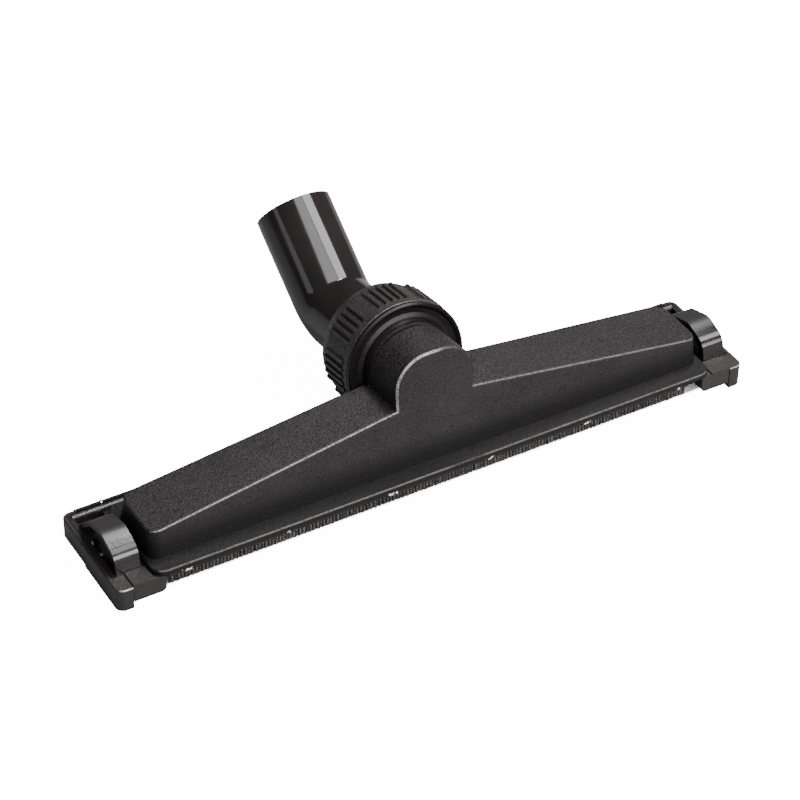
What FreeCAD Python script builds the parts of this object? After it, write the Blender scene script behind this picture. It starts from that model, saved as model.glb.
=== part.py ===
import FreeCAD
import Part
import Sketcher
import os
import math

# Vacuum floor brush head: a wide hollow head with a swivelling elbow for a 38 mm wand.
# X runs along the head, +Y to the rear where the elbow leaves, +Z up, floor at z = 0.
# Pieces are modelled about the middle of the frame and moved to the row origin at the end.

doc = FreeCAD.newDocument("floor_brush_head")
sheet = doc.addObject("Spreadsheet::Sheet", "Size")

# Driving sizes in millimetres and degrees
SIZES = [
    ("frame_length", 400.0),
    ("frame_depth", 72.0),
    ("frame_top", 15.5),
    ("frame_bottom", 3.0),
    ("cap_bottom", 1.4),
    ("cap_wall", 2.4),
    ("cap_groove", 0.35),
    ("end_wall", 2.4),
    ("cap_corner", 5.0),
    ("cap_rim", 0.6),
    ("cap_step_y", 6.0),
    ("cap_front_width", 9.2),
    ("cap_rear_width", 8.0),
    ("cap_rear_depth", 2.6),
    ("block_width", 19.3),
    ("block_bottom", 5.2),
    ("block_seam", 0.4),
    ("block_rise", 0.9),
    ("block_lower_round", 3.0),
    ("rail_setback", 12.0),
    ("mouth_end_gap", 40.0),
    ("mouth_depth", 26.0),
    ("bay_front_y", 22.0),
    ("bay_rear_y", 21.0),
    ("bay_inner_inset", 21.2),
    ("trough_front_y", 23.9),
    ("trough_depth", 6.5),
    ("rail_bar_y", 31.1),
    ("rail_bar_radius", 2.2),
    ("rail_bar_rise", 0.8),
    ("rear_wall", 1.9),
    ("brim_end_gap", 22.0),
    ("brim_rear_y", 26.5),
    ("brim_thickness", 3.3),
    ("brim_corner", 8.0),
    ("brim_edge_chamfer", 0.7),
    ("hump_end_gap", 2.0),
    ("hump_end_lean", 1.4),
    ("hump_front_foot", 25.7),
    ("hump_rear_foot", 17.4),
    ("hump_front_lean", 0.083),
    ("hump_rear_lean", 0.22),
    ("hump_end_height", 17.1),
    ("hump_mid_height", 39.2),
    ("ridge_half", 26.0),
    ("hump_corner", 8.0),
    ("ridge_round", 1.6),
    ("wall", 2.5),
    ("neck_height", 47.0),
    ("neck_drop", 9.5),
    ("neck_radius", 25.6),
    ("arch_half_width", 24.0),
    ("arch_corner", 18.4),
    ("arch_crown", 27.0),
    ("arch_start_y", 24.4),
    ("arch_edge_chamfer", 1.1),
    ("neck_rear", 30.0),
    ("bore_front", 11.0),
    ("tube_radius", 22.5),
    ("tube_wall", 3.5),
    ("spigot_clearance", 0.06),
    ("spigot_start", 5.5),
    ("seat_radius", 37.6),
    ("seat_start", 8.6),
    ("collar_lip", 7.0),
    ("lip_width", 2.6),
    ("collar_face", 9.0),
    ("collar_back", 11.8),
    ("collar_radius", 36.3),
    ("collar_fit", 0.1),
    ("sleeve_radius", 31.8),
    ("sleeve_end", 30.0),
    ("nut_gap", 0.7),
    ("nut_radius", 36.1),
    ("nut_waist_radius", 35.3),
    ("nut_lip_width", 5.2),
    ("nut_thread_gap", 0.2),
    ("rib_end", 37.4),
    ("rib_radius", 36.9),
    ("rib_pitch_angle", 6.8),
    ("rib_foot_angle", 5.4),
    ("rib_crest_angle", 2.6),
    ("rib_groups", 8),
    ("nut_shoulder_drop", 1.6),
    ("nut_shoulder_start", 38.0),
    ("nut_rear_radius", 29.6),
    ("nut_end", 50.0),
    ("nut_lip_clearance", 0.4),
    ("washer_thickness", 1.2),
    ("flange_thickness", 2.4),
    ("flange_radius", 30.8),
    ("flange_play", 0.25),
    ("bend_point", 89.2),
    ("bend_angle", 45.4),
    ("bend_radius", 24.0),
    ("free_length", 63.8),
    ("fender_inner_inset", 19.5),
    ("fender_outer_inset", 5.4),
    ("fender_gap", 0.2),
    ("fender_rear", 23.5),
    ("fender_brow_y", 21.3),
    ("fender_brow_z", 12.0),
    ("fender_crown_y", 6.0),
    ("fender_crown_z", 17.3),
    ("fender_slope_y", 10.0),
    ("fender_slope_z", 12.4),
    ("fender_wall", 2.4),
    ("fender_round", 9.0),
    ("wheel_radius", 13.0),
    ("wheel_width", 10.6),
    ("wheel_edge", 1.8),
    ("wheel_inset", 12.4),
    ("wheel_y", 2.0),
    ("axle_radius", 1.75),
    ("axle_clearance", 0.05),
    ("axle_length", 18.6),
    ("strip_end_gap", 5.0),
    ("holder_depth", 4.0),
    ("holder_height", 9.2),
    ("tuft_pitch", 2.95),
    ("tuft_width", 1.9),
    ("tuft_depth", 2.2),
    ("comb_height", 5.0),
    ("comb_overlap", 0.6),
    ("rear_strip_y", 19.4),
    ("clip_end_gap", 9.0),
    ("clip_count", 6),
    ("clip_width", 6.0),
    ("clip_thickness", 1.2),
    ("clip_reach", 4.0),
    ("clip_drop", 5.6),
    ("clip_upturn", 2.6),
    ("screw_inset", 33.5),
    ("screw_front_y", 15.0),
    ("screw_rear_y", 8.0),
    ("screw_radius", 1.5),
    ("screw_head_radius", 3.0),
    ("screw_head_height", 2.2),
    ("screw_length", 17.0),
    ("boss_radius", 3.4),
    ("pin_inset", 23.8),
    ("pin_y", 34.75),
    ("pin_radius", 1.25),
    ("pin_height", 0.9),
    ("pin_depth", 8.0),
]
for row, (name, number) in enumerate(SIZES, 1):
    sheet.set("A%d" % row, name)
    sheet.set("B%d" % row, str(number))
    sheet.setAlias("B%d" % row, name)
doc.recompute()


def size(name):
    return float(sheet.get(name))


# Heights and stations that several pieces share
TOP = "Size.frame_top"
BRIM_TOP = "(Size.frame_top + Size.brim_thickness)"
AXIS_Z = "(Size.frame_top + Size.neck_height)"
HALF = "(Size.frame_length / 2)"
FRONT = "(Size.frame_depth / 2)"
RAIL_Y = "(Size.frame_depth / 2 - Size.rail_setback)"
BRIM_HALF = "(%s - Size.brim_end_gap)" % HALF
HUMP_HALF = "(%s - Size.hump_end_gap)" % BRIM_HALF
MOUTH_HALF = "(%s - Size.mouth_end_gap)" % HALF
BAY_INNER = "(%s - Size.bay_inner_inset)" % HALF
FENDER_INNER = "(%s - Size.fender_inner_inset)" % HALF
FENDER_OUTER = "(%s - Size.fender_outer_inset)" % HALF
WHEEL_X = "(%s - Size.wheel_inset)" % HALF
SCREW_X = "(%s - Size.screw_inset)" % HALF
PIN_X = "(%s - Size.pin_inset)" % HALF
BLOCK_INNER = "(%s - Size.cap_front_width - Size.block_width)" % HALF
STRIP_HALF = "(%s - Size.strip_end_gap)" % BLOCK_INNER
CLIP_SPAN = "(2 * %s - 2 * Size.clip_end_gap)" % STRIP_HALF
TUFT_COUNT = "(floor((2 * %s - 1 - Size.tuft_width) / Size.tuft_pitch) + 1)" % STRIP_HALF
TUFT_SPAN = "(Size.tuft_pitch * (%s - 1))" % TUFT_COUNT
NUT_START = "(Size.collar_back + Size.nut_gap)"
WASHER_END = "(Size.sleeve_end + Size.washer_thickness)"
FLANGE_START = "(%s + Size.flange_play)" % WASHER_END
FLANGE_END = "(%s + Size.flange_thickness)" % FLANGE_START
POCKET_END = "(%s + Size.flange_play)" % FLANGE_END
TUBE_BORE = "(Size.tube_radius - Size.tube_wall)"


def make_body(name):
    body = doc.addObject("PartDesign::Body", name)
    body.Label = name
    if hasattr(body, "AllowCompound"):
        body.AllowCompound = True
    return body


def plane_of(body, plane):
    return [part for part in body.Origin.OriginFeatures if part.Role == plane + "_Plane"][0]


def body_sketch(body, name, plane, offset="0"):
    sketch = body.newObject("Sketcher::SketchObject", name)
    sketch.AttachmentSupport = (plane_of(body, plane), [""])
    sketch.MapMode = "FlatFace"
    sketch.setExpression("AttachmentOffset.Base.z", offset)
    return sketch


def loose_sketch(name, plane, offset="0"):
    sketch = doc.addObject("Sketcher::SketchObject", name)
    if plane == "XZ":
        sketch.Placement.Rotation = FreeCAD.Rotation(FreeCAD.Vector(1, 0, 0), 90)
        sketch.setExpression("Placement.Base.y", offset)
    elif plane == "YZ":
        sketch.Placement.Rotation = FreeCAD.Rotation(FreeCAD.Vector(1, 1, 1), 120)
        sketch.setExpression("Placement.Base.x", offset)
    else:
        sketch.setExpression("Placement.Base.z", offset)
    return sketch


def fix_point(sketch, edge, end, x, y):
    start = sketch.getPoint(edge, end)
    for kind, text, now in (("DistanceX", x, start.x), ("DistanceY", y, start.y)):
        number = sketch.addConstraint(Sketcher.Constraint(kind, -1, 1, edge, end, now))
        sketch.setExpression("Constraints[%d]" % number, text)


def outline(sketch, corners):
    first = sketch.GeometryCount
    count = len(corners)
    spots = []
    for index in range(count):
        turn = 2 * math.pi * index / count
        spots.append(FreeCAD.Vector(20 * math.cos(turn), 20 * math.sin(turn), 0))
    for index in range(count):
        sketch.addGeometry(Part.LineSegment(spots[index], spots[(index + 1) % count]), False)
    for index in range(count):
        after = first + (index + 1) % count
        sketch.addConstraint(Sketcher.Constraint("Coincident", first + index, 2, after, 1))
    for index, (x, y) in enumerate(corners):
        fix_point(sketch, first + index, 1, x, y)
    return sketch


def rectangle(sketch, x0, y0, x1, y1):
    return outline(sketch, [(x0, y0), (x1, y0), (x1, y1), (x0, y1)])


def circle(sketch, x, y, radius):
    edge = sketch.addGeometry(Part.Circle(FreeCAD.Vector(1, 1, 0), FreeCAD.Vector(0, 0, 1), 5), False)
    fix_point(sketch, edge, 3, x, y)
    number = sketch.addConstraint(Sketcher.Constraint("Radius", edge, 5.0))
    sketch.setExpression("Constraints[%d]" % number, radius)
    return sketch


def pad(body, sketch, length, symmetric=False, reversed_way=False):
    feature = body.newObject("PartDesign::Pad", sketch.Name + "_pad")
    feature.Profile = sketch
    feature.setExpression("Length", length)
    feature.Midplane = symmetric
    feature.Reversed = reversed_way
    sketch.Visibility = False
    doc.recompute()
    return feature


def pocket(body, sketch, length=None, symmetric=False, reversed_way=False):
    feature = body.newObject("PartDesign::Pocket", sketch.Name + "_cut")
    feature.Profile = sketch
    if length is None:
        feature.Type = 1
    else:
        feature.setExpression("Length", length)
    feature.Midplane = symmetric
    feature.Reversed = reversed_way
    sketch.Visibility = False
    doc.recompute()
    return feature


def revolve(body, sketch, axis="V_Axis"):
    feature = body.newObject("PartDesign::Revolution", sketch.Name + "_turned")
    feature.Profile = sketch
    feature.ReferenceAxis = (sketch, [axis])
    feature.Angle = 360.0
    sketch.Visibility = False
    doc.recompute()
    return feature


def edges_where(shape, test):
    return ["Edge%d" % number for number, edge in enumerate(shape.Edges, 1) if test(edge)]


def fillet(body, base, test, radius, kind="Fillet"):
    feature = body.newObject("PartDesign::" + kind, base.Name + "_" + kind.lower())
    feature.Base = (base, edges_where(base.Shape, test))
    feature.setExpression("Radius" if kind == "Fillet" else "Size", radius)
    doc.recompute()
    return feature


def upright(edge):
    box = edge.BoundBox
    return box.XLength < 0.01 and box.YLength < 0.01 and box.ZLength > 1.0


def on_neck_axis(item):
    item.Placement = FreeCAD.Placement(
        FreeCAD.Vector(0, 0, 0), FreeCAD.Rotation(FreeCAD.Vector(-1, 0, 0), 95.0))
    item.setExpression("Placement.Base.z", AXIS_Z)
    item.setExpression("Placement.Rotation.Angle", "90 deg + Size.neck_drop * 1 deg")


def extrusion(sketch, forward, backward="0"):
    solid = doc.addObject("Part::Extrusion", sketch.Name + "_solid")
    solid.Base = sketch
    solid.DirMode = "Normal"
    solid.Solid = True
    solid.setExpression("LengthFwd", forward)
    solid.setExpression("LengthRev", backward)
    return solid


def cylinder(name, radius, length, start="0"):
    # A round bar on the neck axis, from the station start on
    solid = doc.addObject("Part::Cylinder", name)
    on_neck_axis(solid)
    solid.setExpression("Radius", radius)
    solid.setExpression("Height", length)
    solid.setExpression("Placement.Base.y", "(%s) * cos(Size.neck_drop * 1 deg)" % start)
    solid.setExpression(
        "Placement.Base.z", "%s - (%s) * sin(Size.neck_drop * 1 deg)" % (AXIS_Z, start))
    return solid


def boolean(kind, name, *parts):
    result = doc.addObject("Part::" + kind, name)
    if kind in ("MultiFuse", "MultiCommon"):
        result.Shapes = list(parts)
    else:
        result.Base = parts[0]
        result.Tool = parts[1]
    return result


def soften(kind, base, name, test, amount):
    # Rounds or chamfers every edge of base that passes the test
    doc.recompute()
    result = doc.addObject("Part::" + kind, name)
    result.Base = base
    result.Edges = [(number, size(amount), size(amount))
                    for number, edge in enumerate(base.Shape.Edges, 1) if test(edge)]
    doc.recompute()
    return result


# Nozzle housing: sloping hollow hump on a flat brim, with the neck that carries the elbow
def hump(prefix, inset, floor):
    foot_x = "%s - %s" % (HUMP_HALF, inset)
    top_x = "%s - Size.hump_end_lean - %s" % (HUMP_HALF, inset)
    end_z = "%s + Size.hump_end_height - %s" % (BRIM_TOP, inset)
    mid_z = "%s + Size.hump_mid_height - %s" % (BRIM_TOP, inset)
    roof = loose_sketch(prefix + "_roof", "XZ")
    outline(roof, [
        ("-(%s)" % foot_x, floor), (foot_x, floor), (top_x, end_z), ("Size.ridge_half", mid_z),
        ("-Size.ridge_half", mid_z), ("-(%s)" % top_x, end_z)])
    rise = "(Size.hump_mid_height + 4)"
    drop = "(%s - (%s))" % (BRIM_TOP, floor)
    walls = loose_sketch(prefix + "_walls", "YZ")
    outline(walls, [
        ("-Size.hump_front_foot - Size.hump_front_lean * %s + %s" % (drop, inset), floor),
        ("Size.hump_rear_foot + Size.hump_rear_lean * %s - %s" % (drop, inset), floor),
        ("Size.hump_rear_foot - Size.hump_rear_lean * %s - %s" % (rise, inset),
         "%s + %s" % (BRIM_TOP, rise)),
        ("-Size.hump_front_foot + Size.hump_front_lean * %s + %s" % (rise, inset),
         "%s + %s" % (BRIM_TOP, rise))])
    return boolean("MultiCommon", prefix + "_block", extrusion(roof, FRONT, FRONT),
                   extrusion(walls, HALF, HALF))


def hump_corner(edge):
    box = edge.BoundBox
    return box.ZLength > 5 and box.YLength < box.ZLength and box.XLength < 3


def hump_ridge(edge):
    low = size("frame_top") + size("brim_thickness") + size("hump_end_height")
    return edge.BoundBox.ZMin > low - 3.5


def arch_sketch(name, y, half_width, corner, crown):
    # Flat-sided arch outline: a foot, two sides, two round shoulders and a short crown
    sketch = loose_sketch(name, "XZ", y)
    foot = "%s + Size.brim_thickness" % BRIM_TOP
    low = FreeCAD.Vector(0, 0, 1)
    points = [(-24, 22), (24, 22), (24, 72), (7, 89), (-7, 89), (-24, 72)]
    spots = [FreeCAD.Vector(x, y0, 0) for x, y0 in points]
    sketch.addGeometry(Part.LineSegment(spots[0], spots[1]), False)
    sketch.addGeometry(Part.LineSegment(spots[1], spots[2]), False)
    right = Part.Circle(FreeCAD.Vector(7, 72, 0), low, 17)
    sketch.addGeometry(Part.ArcOfCircle(right, 0, math.pi / 2), False)
    sketch.addGeometry(Part.LineSegment(spots[3], spots[4]), False)
    left = Part.Circle(FreeCAD.Vector(-7, 72, 0), low, 17)
    sketch.addGeometry(Part.ArcOfCircle(left, math.pi / 2, math.pi), False)
    sketch.addGeometry(Part.LineSegment(spots[5], spots[0]), False)
    for index in range(6):
        after = (index + 1) % 6
        sketch.addConstraint(Sketcher.Constraint("Coincident", index, 2, after, 1))
    inset = "(%s) - (%s)" % (half_width, corner)
    shoulder = "(%s) - (%s)" % (crown, corner)
    fix_point(sketch, 0, 1, "-(%s)" % half_width, foot)
    fix_point(sketch, 1, 1, half_width, foot)
    fix_point(sketch, 2, 1, half_width, shoulder)
    fix_point(sketch, 3, 1, inset, crown)
    fix_point(sketch, 4, 1, "-(%s)" % inset, crown)
    fix_point(sketch, 5, 1, "-(%s)" % half_width, shoulder)
    for arc in (2, 4):
        number = sketch.addConstraint(Sketcher.Constraint("Radius", arc, 17.0))
        sketch.setExpression("Constraints[%d]" % number, corner)
    return sketch


hump_outer = hump("hump_outer", "0", TOP)
hump_inner = hump("hump_inner", "Size.wall", "Size.frame_top - 1")
doc.recompute()
hump_soft = soften("Fillet", hump_outer, "hump_soft", hump_corner, "hump_corner")
hump_shell = soften("Fillet", hump_soft, "hump_shell", hump_ridge, "ridge_round")

brim_block = doc.addObject("Part::Box", "brim_block")
brim_block.setExpression("Length", "2 * %s" % BRIM_HALF)
brim_block.setExpression("Width", "Size.frame_depth / 2 + Size.brim_rear_y")
brim_block.setExpression("Height", "Size.brim_thickness")
brim_block.setExpression("Placement.Base.x", "-%s" % BRIM_HALF)
brim_block.setExpression("Placement.Base.y", "-Size.frame_depth / 2")
brim_block.setExpression("Placement.Base.z", TOP)
brim_soft = soften("Fillet", brim_block, "brim_soft", upright, "brim_corner")


def brim_rim(edge):
    return edge.BoundBox.ZMin > size("frame_top") + size("brim_thickness") - 0.1


brim = soften("Chamfer", brim_soft, "brim", brim_rim, "brim_edge_chamfer")

arch_front = arch_sketch(
    "arch_front", "-Size.arch_start_y", "Size.arch_half_width", "Size.arch_corner",
    "%s + Size.arch_crown" % AXIS_Z)
arch_rear = arch_sketch(
    "arch_rear", "Size.collar_lip - 0.4", "Size.neck_radius + 0.4", "Size.neck_radius + 0.35",
    "%s - Size.collar_lip * tan(Size.neck_drop * 1 deg) + Size.neck_radius + 0.35" % AXIS_Z)
arch_loft = doc.addObject("Part::Loft", "arch_loft")
arch_loft.Sections = [arch_front, arch_rear]
arch_loft.Solid = True
arch_loft.Ruled = True
arch_trim = loose_sketch("arch_trim", "YZ")
FACE_RISE = "(Size.neck_height + Size.arch_crown + 6)"
outline(arch_trim, [
    ("-Size.hump_front_foot - 6", BRIM_TOP),
    ("-Size.hump_front_foot", BRIM_TOP),
    ("-Size.hump_front_foot + Size.hump_front_lean * %s" % FACE_RISE,
     "%s + %s" % (BRIM_TOP, FACE_RISE)),
    ("-Size.hump_front_foot - 6", "%s + %s" % (BRIM_TOP, FACE_RISE))])
arch_block = boolean("Cut", "arch_block", arch_loft, extrusion(arch_trim, FRONT, FRONT))


def arch_edge(edge):
    box = edge.BoundBox
    ridge = size("frame_top") + size("brim_thickness") + size("hump_mid_height")
    return box.YMax < 0 and box.ZMax > ridge + 1 and box.ZMin > ridge - 1


arch = soften("Chamfer", arch_block, "arch", arch_edge, "arch_edge_chamfer")

barrel = cylinder("neck_barrel", "Size.neck_radius",
                  "Size.neck_rear - Size.collar_lip + 2.5", "Size.collar_lip - 2.5")
shell_parts = boolean("MultiFuse", "shell_parts", hump_shell, brim, arch, barrel)
seat_wall = cylinder("seat_wall", "Size.seat_radius + Size.wall", "Size.frame_depth",
                     "Size.seat_start - Size.wall")
hollow = boolean("Cut", "hollow", hump_inner, seat_wall)
seat_space = cylinder("seat_space", "Size.seat_radius", "Size.frame_depth", "Size.seat_start")
barrel_keep = cylinder("barrel_keep", "Size.neck_radius", "Size.frame_depth", "0")
lip_space = cylinder("lip_space", "Size.neck_radius + Size.lip_width",
                     "Size.seat_start - Size.collar_lip + 0.3", "Size.collar_lip - 0.1")
seat_ring = boolean("Cut", "seat_ring", boolean("MultiFuse", "collar_space", seat_space, lip_space),
                    barrel_keep)
bore_low = cylinder("bore_low", TUBE_BORE, "Size.bore_front + Size.neck_rear + 5", "-Size.bore_front")
bore_high = cylinder("bore_high", "Size.tube_radius + Size.spigot_clearance",
                     "Size.neck_rear + 5", "Size.spigot_start - 0.5")
bosses = []
for side in (-1, 1):
    for spot, way in (("Size.screw_front_y", -1), ("Size.screw_rear_y", 1)):
        tag = "%s_%s" % ("left" if side < 0 else "right", "front" if way < 0 else "rear")
        post = doc.addObject("Part::Cylinder", "boss_" + tag)
        pilot = doc.addObject("Part::Cylinder", "pilot_" + tag)
        for item, radius, rise in ((post, "Size.boss_radius", "Size.brim_thickness + "
                                    "Size.hump_end_height - Size.wall + 0.5"),
                                   (pilot, "Size.screw_radius", "Size.screw_length - "
                                    "Size.frame_top + Size.frame_bottom + 2")):
            item.setExpression("Radius", radius)
            item.setExpression("Height", rise)
            item.setExpression("Placement.Base.x", "%d * %s" % (side, SCREW_X))
            item.setExpression("Placement.Base.y", "%d * %s" % (way, spot))
            item.setExpression("Placement.Base.z", TOP)
        bosses.append((post, pilot))
posts = boolean("MultiFuse", "posts", *[post for post, pilot in bosses])
pilots = boolean("MultiFuse", "pilots", *[pilot for post, pilot in bosses])
open_space = boolean("Cut", "open_space", hollow, posts)
cuts = boolean("MultiFuse", "cuts", open_space, seat_ring, bore_low, bore_high, pilots)
housing = boolean("Cut", "nozzle_housing", shell_parts, cuts)
housing.Label = "nozzle_housing"
doc.recompute()

# Base frame: sole with the suction mouth, wheel wells and the seats of both strips
frame = make_body("base_frame")
CAP_INNER = "(%s - Size.cap_wall)" % HALF
INNER_END = "(%s - Size.cap_wall - Size.cap_groove)" % HALF
REAR_END = "(%s - Size.cap_rear_width)" % HALF
REAR_LINE = "(%s - Size.cap_rear_depth)" % FRONT
plan = outline(body_sketch(frame, "frame_plan", "XY", "Size.frame_bottom"), [
    ("-%s" % INNER_END, "-%s" % RAIL_Y), (INNER_END, "-%s" % RAIL_Y), (INNER_END, REAR_LINE),
    (REAR_END, REAR_LINE), (REAR_END, FRONT), ("-%s" % REAR_END, FRONT),
    ("-%s" % REAR_END, REAR_LINE), ("-%s" % INNER_END, REAR_LINE)])
pad(frame, plan, "Size.frame_top - Size.frame_bottom")
BAY_END = "(%s - Size.end_wall)" % INNER_END
openings = body_sketch(frame, "mouth_and_bays", "XY", TOP)
rectangle(openings, "-%s" % MOUTH_HALF, "-Size.mouth_depth / 2", MOUTH_HALF, "Size.mouth_depth / 2")
for side in ("-1", "1"):
    rectangle(openings, "%s * %s" % (side, BAY_INNER), "-Size.bay_front_y",
              "%s * %s" % (side, BAY_END), "Size.bay_rear_y")
pocket(frame, openings)
trough = body_sketch(frame, "rail_trough", "XY", TOP)
rectangle(trough, "-%s" % BAY_END, "Size.trough_front_y + 3", BAY_END, "%s - Size.rear_wall" % FRONT)
for side in ("-1", "1"):
    rectangle(trough, "%s * %s" % (side, BAY_INNER), "Size.trough_front_y",
              "%s * %s" % (side, BAY_END), "Size.trough_front_y + 3")
pocket(frame, trough, "Size.trough_depth")
bar = circle(body_sketch(frame, "rail_bar", "YZ"), "Size.rail_bar_y",
             "Size.frame_top + Size.rail_bar_rise - Size.rail_bar_radius", "Size.rail_bar_radius")
pad(frame, bar, "2 * %s + 1" % BAY_END, symmetric=True)
under = rectangle(body_sketch(frame, "bar_web", "YZ"), "Size.rail_bar_y - Size.rail_bar_radius * 0.6",
                  "Size.frame_top - Size.trough_depth - 1",
                  "Size.rail_bar_y + Size.rail_bar_radius * 0.6",
                  "Size.frame_top + Size.rail_bar_rise - Size.rail_bar_radius")
pad(frame, under, "2 * %s + 1" % BAY_END, symmetric=True)
slot = rectangle(body_sketch(frame, "rear_slot", "XY", "Size.frame_bottom"),
                 "-%s" % STRIP_HALF, "Size.rear_strip_y - Size.holder_depth / 2",
                 STRIP_HALF, "Size.rear_strip_y + Size.holder_depth / 2")
pocket(frame, slot, "Size.frame_top - Size.frame_bottom - 3", reversed_way=True)
for side, tag in (("-1", "left"), ("1", "right")):
    start = "%s * (%s - Size.axle_length / 2)" % (side, WHEEL_X)
    seat = circle(body_sketch(frame, "axle_seat_" + tag, "YZ", start), "-Size.wheel_y",
                  "Size.wheel_radius", "Size.axle_radius")
    pocket(frame, seat, "Size.axle_length", reversed_way=side == "1")
holes = body_sketch(frame, "screw_holes", "XY", "Size.frame_bottom")
heads = body_sketch(frame, "screw_seats", "XY", "Size.frame_bottom")
pins = body_sketch(frame, "pin_holes", "XY", TOP)
for side in (-1, 1):
    for spot, way in (("Size.screw_front_y", -1), ("Size.screw_rear_y", 1)):
        place = ("%d * %s" % (side, SCREW_X), "%d * %s" % (way, spot))
        circle(holes, *place, "Size.screw_radius")
        circle(heads, *place, "Size.screw_head_radius + 0.3")
    circle(pins, "%d * %s" % (side, PIN_X), "Size.pin_y", "Size.pin_radius * 0.7")
pocket(frame, holes, "Size.frame_top", reversed_way=True)
pocket(frame, heads, "Size.screw_head_height + 0.4", reversed_way=True)
pocket(frame, pins, "Size.pin_depth")

# End caps: walls across both ends with a returned corner at the front and the rear
def end_cap(name, side):
    body = make_body(name)
    inner_front = "%s * (%s - Size.cap_front_width)" % (side, HALF)
    sketch = outline(body_sketch(body, name + "_plan", "XY", "Size.cap_bottom"), [
        (inner_front, "-%s" % FRONT), ("%s * %s" % (side, HALF), "-%s" % FRONT),
        ("%s * %s" % (side, HALF), FRONT), ("%s * %s" % (side, REAR_END), FRONT),
        ("%s * %s" % (side, REAR_END), REAR_LINE), ("%s * %s" % (side, CAP_INNER), REAR_LINE),
        ("%s * %s" % (side, CAP_INNER), "-%s" % RAIL_Y), (inner_front, "-%s" % RAIL_Y)])
    base = pad(body, sketch, "Size.frame_top - Size.cap_bottom")
    rear = rectangle(body_sketch(body, name + "_step", "YZ"), "Size.cap_step_y", "0",
                     "%s + 1" % FRONT, "Size.frame_bottom")
    base = pocket(body, rear, "Size.frame_length + 10", symmetric=True)

    def corner(edge):
        middle = edge.BoundBox.Center
        outside = abs(middle.x) > size("frame_length") / 2 - 0.1
        return upright(edge) and outside and abs(middle.y) > size("frame_depth") / 2 - 0.1
    base = fillet(body, base, corner, "Size.cap_corner")

    def top_rim(edge):
        box = edge.BoundBox
        outer = box.XMax > size("frame_length") / 2 - 0.05 or box.XMin < -size("frame_length") / 2 + 0.05
        return box.ZMin > size("frame_top") - 0.05 and outer
    fillet(body, base, top_rim, "Size.cap_rim", "Chamfer")
    return body


cap_left = end_cap("end_cap_left", "-1")
cap_right = end_cap("end_cap_right", "1")


# Front corner blocks: stand forward of the front strip beside each cap
def corner_block(name, side):
    body = make_body(name)
    outer = "%s * (%s - Size.cap_front_width - Size.block_seam)" % (side, HALF)
    inner = "%s * %s" % (side, BLOCK_INNER)
    shoulder = "%s * (%s + 0.3)" % (side, BRIM_HALF)
    sketch = outline(body_sketch(body, name + "_front", "XZ", RAIL_Y), [
        (inner, "Size.block_bottom"), (outer, "Size.block_bottom"),
        (outer, "%s + Size.block_rise" % TOP), (shoulder, "%s + Size.block_rise" % TOP),
        (shoulder, TOP), (inner, TOP)])
    base = pad(body, sketch, "Size.rail_setback - 0.3")

    def lower_inner(edge):
        box = edge.BoundBox
        near = abs(box.Center.x) < size("frame_length") / 2 - size("cap_front_width") - 5
        return box.YLength > 5 and near and box.ZMax < size("block_bottom") + 0.1
    fillet(body, base, lower_inner, "Size.block_lower_round")
    return body


block_left = corner_block("corner_block_left", "-1")
block_right = corner_block("corner_block_right", "1")


# Wheel fenders: curved bands over both wheels, open at the sides and below
def fender(name, side):
    body = make_body(name)
    sketch = outline(body_sketch(body, name + "_side", "YZ", "%s * %s" % (side, FENDER_INNER)), [
        ("-(%s - Size.fender_gap)" % RAIL_Y, TOP), ("Size.fender_rear", TOP),
        ("Size.fender_slope_y", "%s + Size.fender_slope_z" % TOP),
        ("-Size.fender_crown_y", "%s + Size.fender_crown_z" % TOP),
        ("-Size.fender_brow_y", "%s + Size.fender_brow_z" % TOP)])
    base = pad(body, sketch, "%s - %s" % (FENDER_OUTER, FENDER_INNER), reversed_way=side == "-1")

    def bend(edge):
        return edge.BoundBox.XLength > 5 and edge.BoundBox.ZMin > size("frame_top") + 5
    base = fillet(body, base, bend, "Size.fender_round")
    band = body.newObject("PartDesign::Thickness", name + "_band")
    faces = []
    for number, face in enumerate(base.Shape.Faces, 1):
        box = face.BoundBox
        if box.XLength < 0.01 or box.ZMax < size("frame_top") + 0.01:
            faces.append("Face%d" % number)
    band.Base = (base, faces)
    band.Reversed = True
    band.setExpression("Value", "Size.fender_wall")
    doc.recompute()
    return body


fender_left = fender("wheel_fender_left", "-1")
fender_right = fender("wheel_fender_right", "1")


# Wheels and their axles
def wheel(name, side):
    body = make_body(name)
    half = "Size.wheel_width / 2"
    bore = "Size.axle_radius + Size.axle_clearance"
    sketch = outline(body_sketch(body, name + "_section", "XY"), [
        ("-%s" % half, bore), (half, bore), (half, "Size.wheel_radius * 0.42"),
        ("%s - 1.2" % half, "Size.wheel_radius * 0.48"),
        ("%s - 1.2" % half, "Size.wheel_radius * 0.74"), (half, "Size.wheel_radius * 0.80"),
        (half, "Size.wheel_radius - Size.wheel_edge"),
        ("%s - Size.wheel_edge" % half, "Size.wheel_radius"),
        ("-(%s - Size.wheel_edge)" % half, "Size.wheel_radius"),
        ("-(%s)" % half, "Size.wheel_radius - Size.wheel_edge"),
        ("-(%s)" % half, "Size.wheel_radius * 0.80"),
        ("-(%s - 1.2)" % half, "Size.wheel_radius * 0.74"),
        ("-(%s - 1.2)" % half, "Size.wheel_radius * 0.48"),
        ("-(%s)" % half, "Size.wheel_radius * 0.42")])
    revolve(body, sketch, "H_Axis")
    body.setExpression("Placement.Base.x", "%s * %s" % (side, WHEEL_X))
    body.setExpression("Placement.Base.y", "-Size.wheel_y")
    body.setExpression("Placement.Base.z", "Size.wheel_radius")
    return body


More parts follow.
